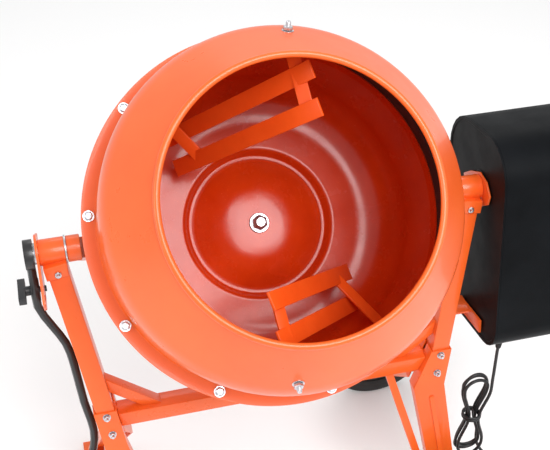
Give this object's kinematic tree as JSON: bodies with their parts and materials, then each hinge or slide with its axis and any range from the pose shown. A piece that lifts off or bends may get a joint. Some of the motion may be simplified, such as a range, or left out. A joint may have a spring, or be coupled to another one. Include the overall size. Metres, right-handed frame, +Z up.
{
  "type": "electric concrete mixer",
  "caption": "Tilting-drum electric concrete mixer: open-mouthed steel drum with crown gear in a yoke on a two-post stand with splayed legs, transport wheels and a belt-drive housing.",
  "frame": {"origin": "centre of the stand's box on the ground it stands on", "axes": "+Z up, -Y towards the drum's mouth and the user, +X along the tilt axis towards the drive housing"},
  "size_m": [0.9922, 0.6376, 1.0713],
  "materials": {
    "orange_paint": "gloss",
    "drum_paint": "gloss",
    "bright_steel": "zinc plated",
    "cast_iron": "as cast",
    "black_rubber": "satin",
    "tyre": "matt",
    "black_plastic": "gloss",
    "black_steel": "satin",
    "green_plastic": "gloss",
    "red_plastic": "gloss"
  },
  "bodies": {
    "stand": {"left_post": "orange_paint", "right_post": "orange_paint", "crossbar": "orange_paint", "left_gusset": "orange_paint", "right_gusset": "orange_paint", "left_pivot_sleeve": "orange_paint", "right_pivot_sleeve": "orange_paint", "drive_mount_plate": "orange_paint", "front_left_leg": "orange_paint", "rear_left_leg": "orange_paint", "front_right_leg": "orange_paint", "rear_right_leg": "orange_paint", "leg_brace": "orange_paint", "lock_quadrant": "orange_paint", "housing_strap": "orange_paint", "front_wheel_axle": "bright_steel", "rear_wheel_axle": "bright_steel", "front_axle_cap": "bright_steel", "rear_axle_cap": "bright_steel", "drive_belt": "black_rubber", "motor": "cast_iron", "housing_back_plate": "black_plastic", "motor_cover": "black_plastic", "strain_relief": "black_rubber", "switch_box": "black_plastic", "cord_lead": "black_rubber", "cord_hank": "black_rubber", "cord_tail": "black_rubber", "plug": "black_rubber"},
    "cradle": {"yoke": "orange_paint", "front_bearing": "bright_steel", "rear_bearing": "bright_steel", "left_trunnion": "bright_steel", "right_trunnion": "bright_steel", "left_pivot_washer": "bright_steel", "right_pivot_washer": "bright_steel", "tilt_lever": "black_steel", "lever_grip": "black_rubber"},
    "lock_knob": {"lock_knob": "black_plastic"},
    "drum": {"drum_upper": "orange_paint", "drum_lower": "drum_paint", "drum_seal": "black_rubber", "base_plate": "drum_paint", "ring_gear": "cast_iron", "blade_a": "drum_paint", "blade_b": "drum_paint", "drum_axle": "bright_steel", "hub_nut": "bright_steel", "axle_nut": "bright_steel"},
    "drive_shaft": {"drive_pinion": "cast_iron", "drive_shaft": "bright_steel", "drive_pulley": "cast_iron"},
    "motor_rotor": {"motor_pulley": "bright_steel"},
    "front_wheel": {"front_tyre": "tyre", "front_wheel_hub": "black_plastic"},
    "rear_wheel": {"rear_tyre": "tyre", "rear_wheel_hub": "black_plastic"},
    "start_button": {"start_button": "green_plastic"},
    "stop_button": {"stop_button": "red_plastic"}
  },
  "joints": [
    {"name": "tilt", "type": "hinge", "parent": "stand", "child": "cradle", "pos_m": [-0.0852, 0.02576, 0.733], "axis": [1, 0, 0], "range_deg": [-53, 60]},
    {"name": "lock_knob_turn", "type": "hinge", "parent": "cradle", "child": "lock_knob", "pos_m": [-0.4852, 0.02576, 0.661], "axis": [1, 0, 0], "range_deg": [-180, 180]},
    {"name": "drum_spin", "type": "hinge", "parent": "cradle", "child": "drum", "pos_m": [-0.0852, 0.02576, 0.733], "axis": [0, -0.7485, 0.6631], "continuous": true},
    {"name": "drive_spin", "type": "hinge", "parent": "cradle", "child": "drive_shaft", "pos_m": [-0.0852, 0.02576, 0.733], "axis": [1, 0, 0], "continuous": true},
    {"name": "motor_spin", "type": "hinge", "parent": "stand", "child": "motor_rotor", "pos_m": [0.38, 0.00191, 0.5382], "axis": [1, 0, 0], "continuous": true},
    {"name": "front_wheel_roll", "type": "hinge", "parent": "stand", "child": "front_wheel", "pos_m": [0.22809, -0.17156, 0.115], "axis": [0, 1, 0], "continuous": true},
    {"name": "rear_wheel_roll", "type": "hinge", "parent": "stand", "child": "rear_wheel", "pos_m": [0.22809, 0.28483, 0.115], "axis": [0, 1, 0], "continuous": true},
    {"name": "start_press", "type": "slide", "parent": "stand", "child": "start_button", "axis": [-1, 0, 0], "range_m": [0, 0.004], "stiffness_N_per_m": 600},
    {"name": "stop_press", "type": "slide", "parent": "stand", "child": "stop_button", "axis": [-1, 0, 0], "range_m": [0, 0.004], "stiffness_N_per_m": 600}
  ],
  "couplings": [
    {"joint": "drive_spin", "follows": "drum_spin", "ratio": -13.25},
    {"joint": "motor_spin", "follows": "drum_spin", "ratio": -89.136}
  ]
}
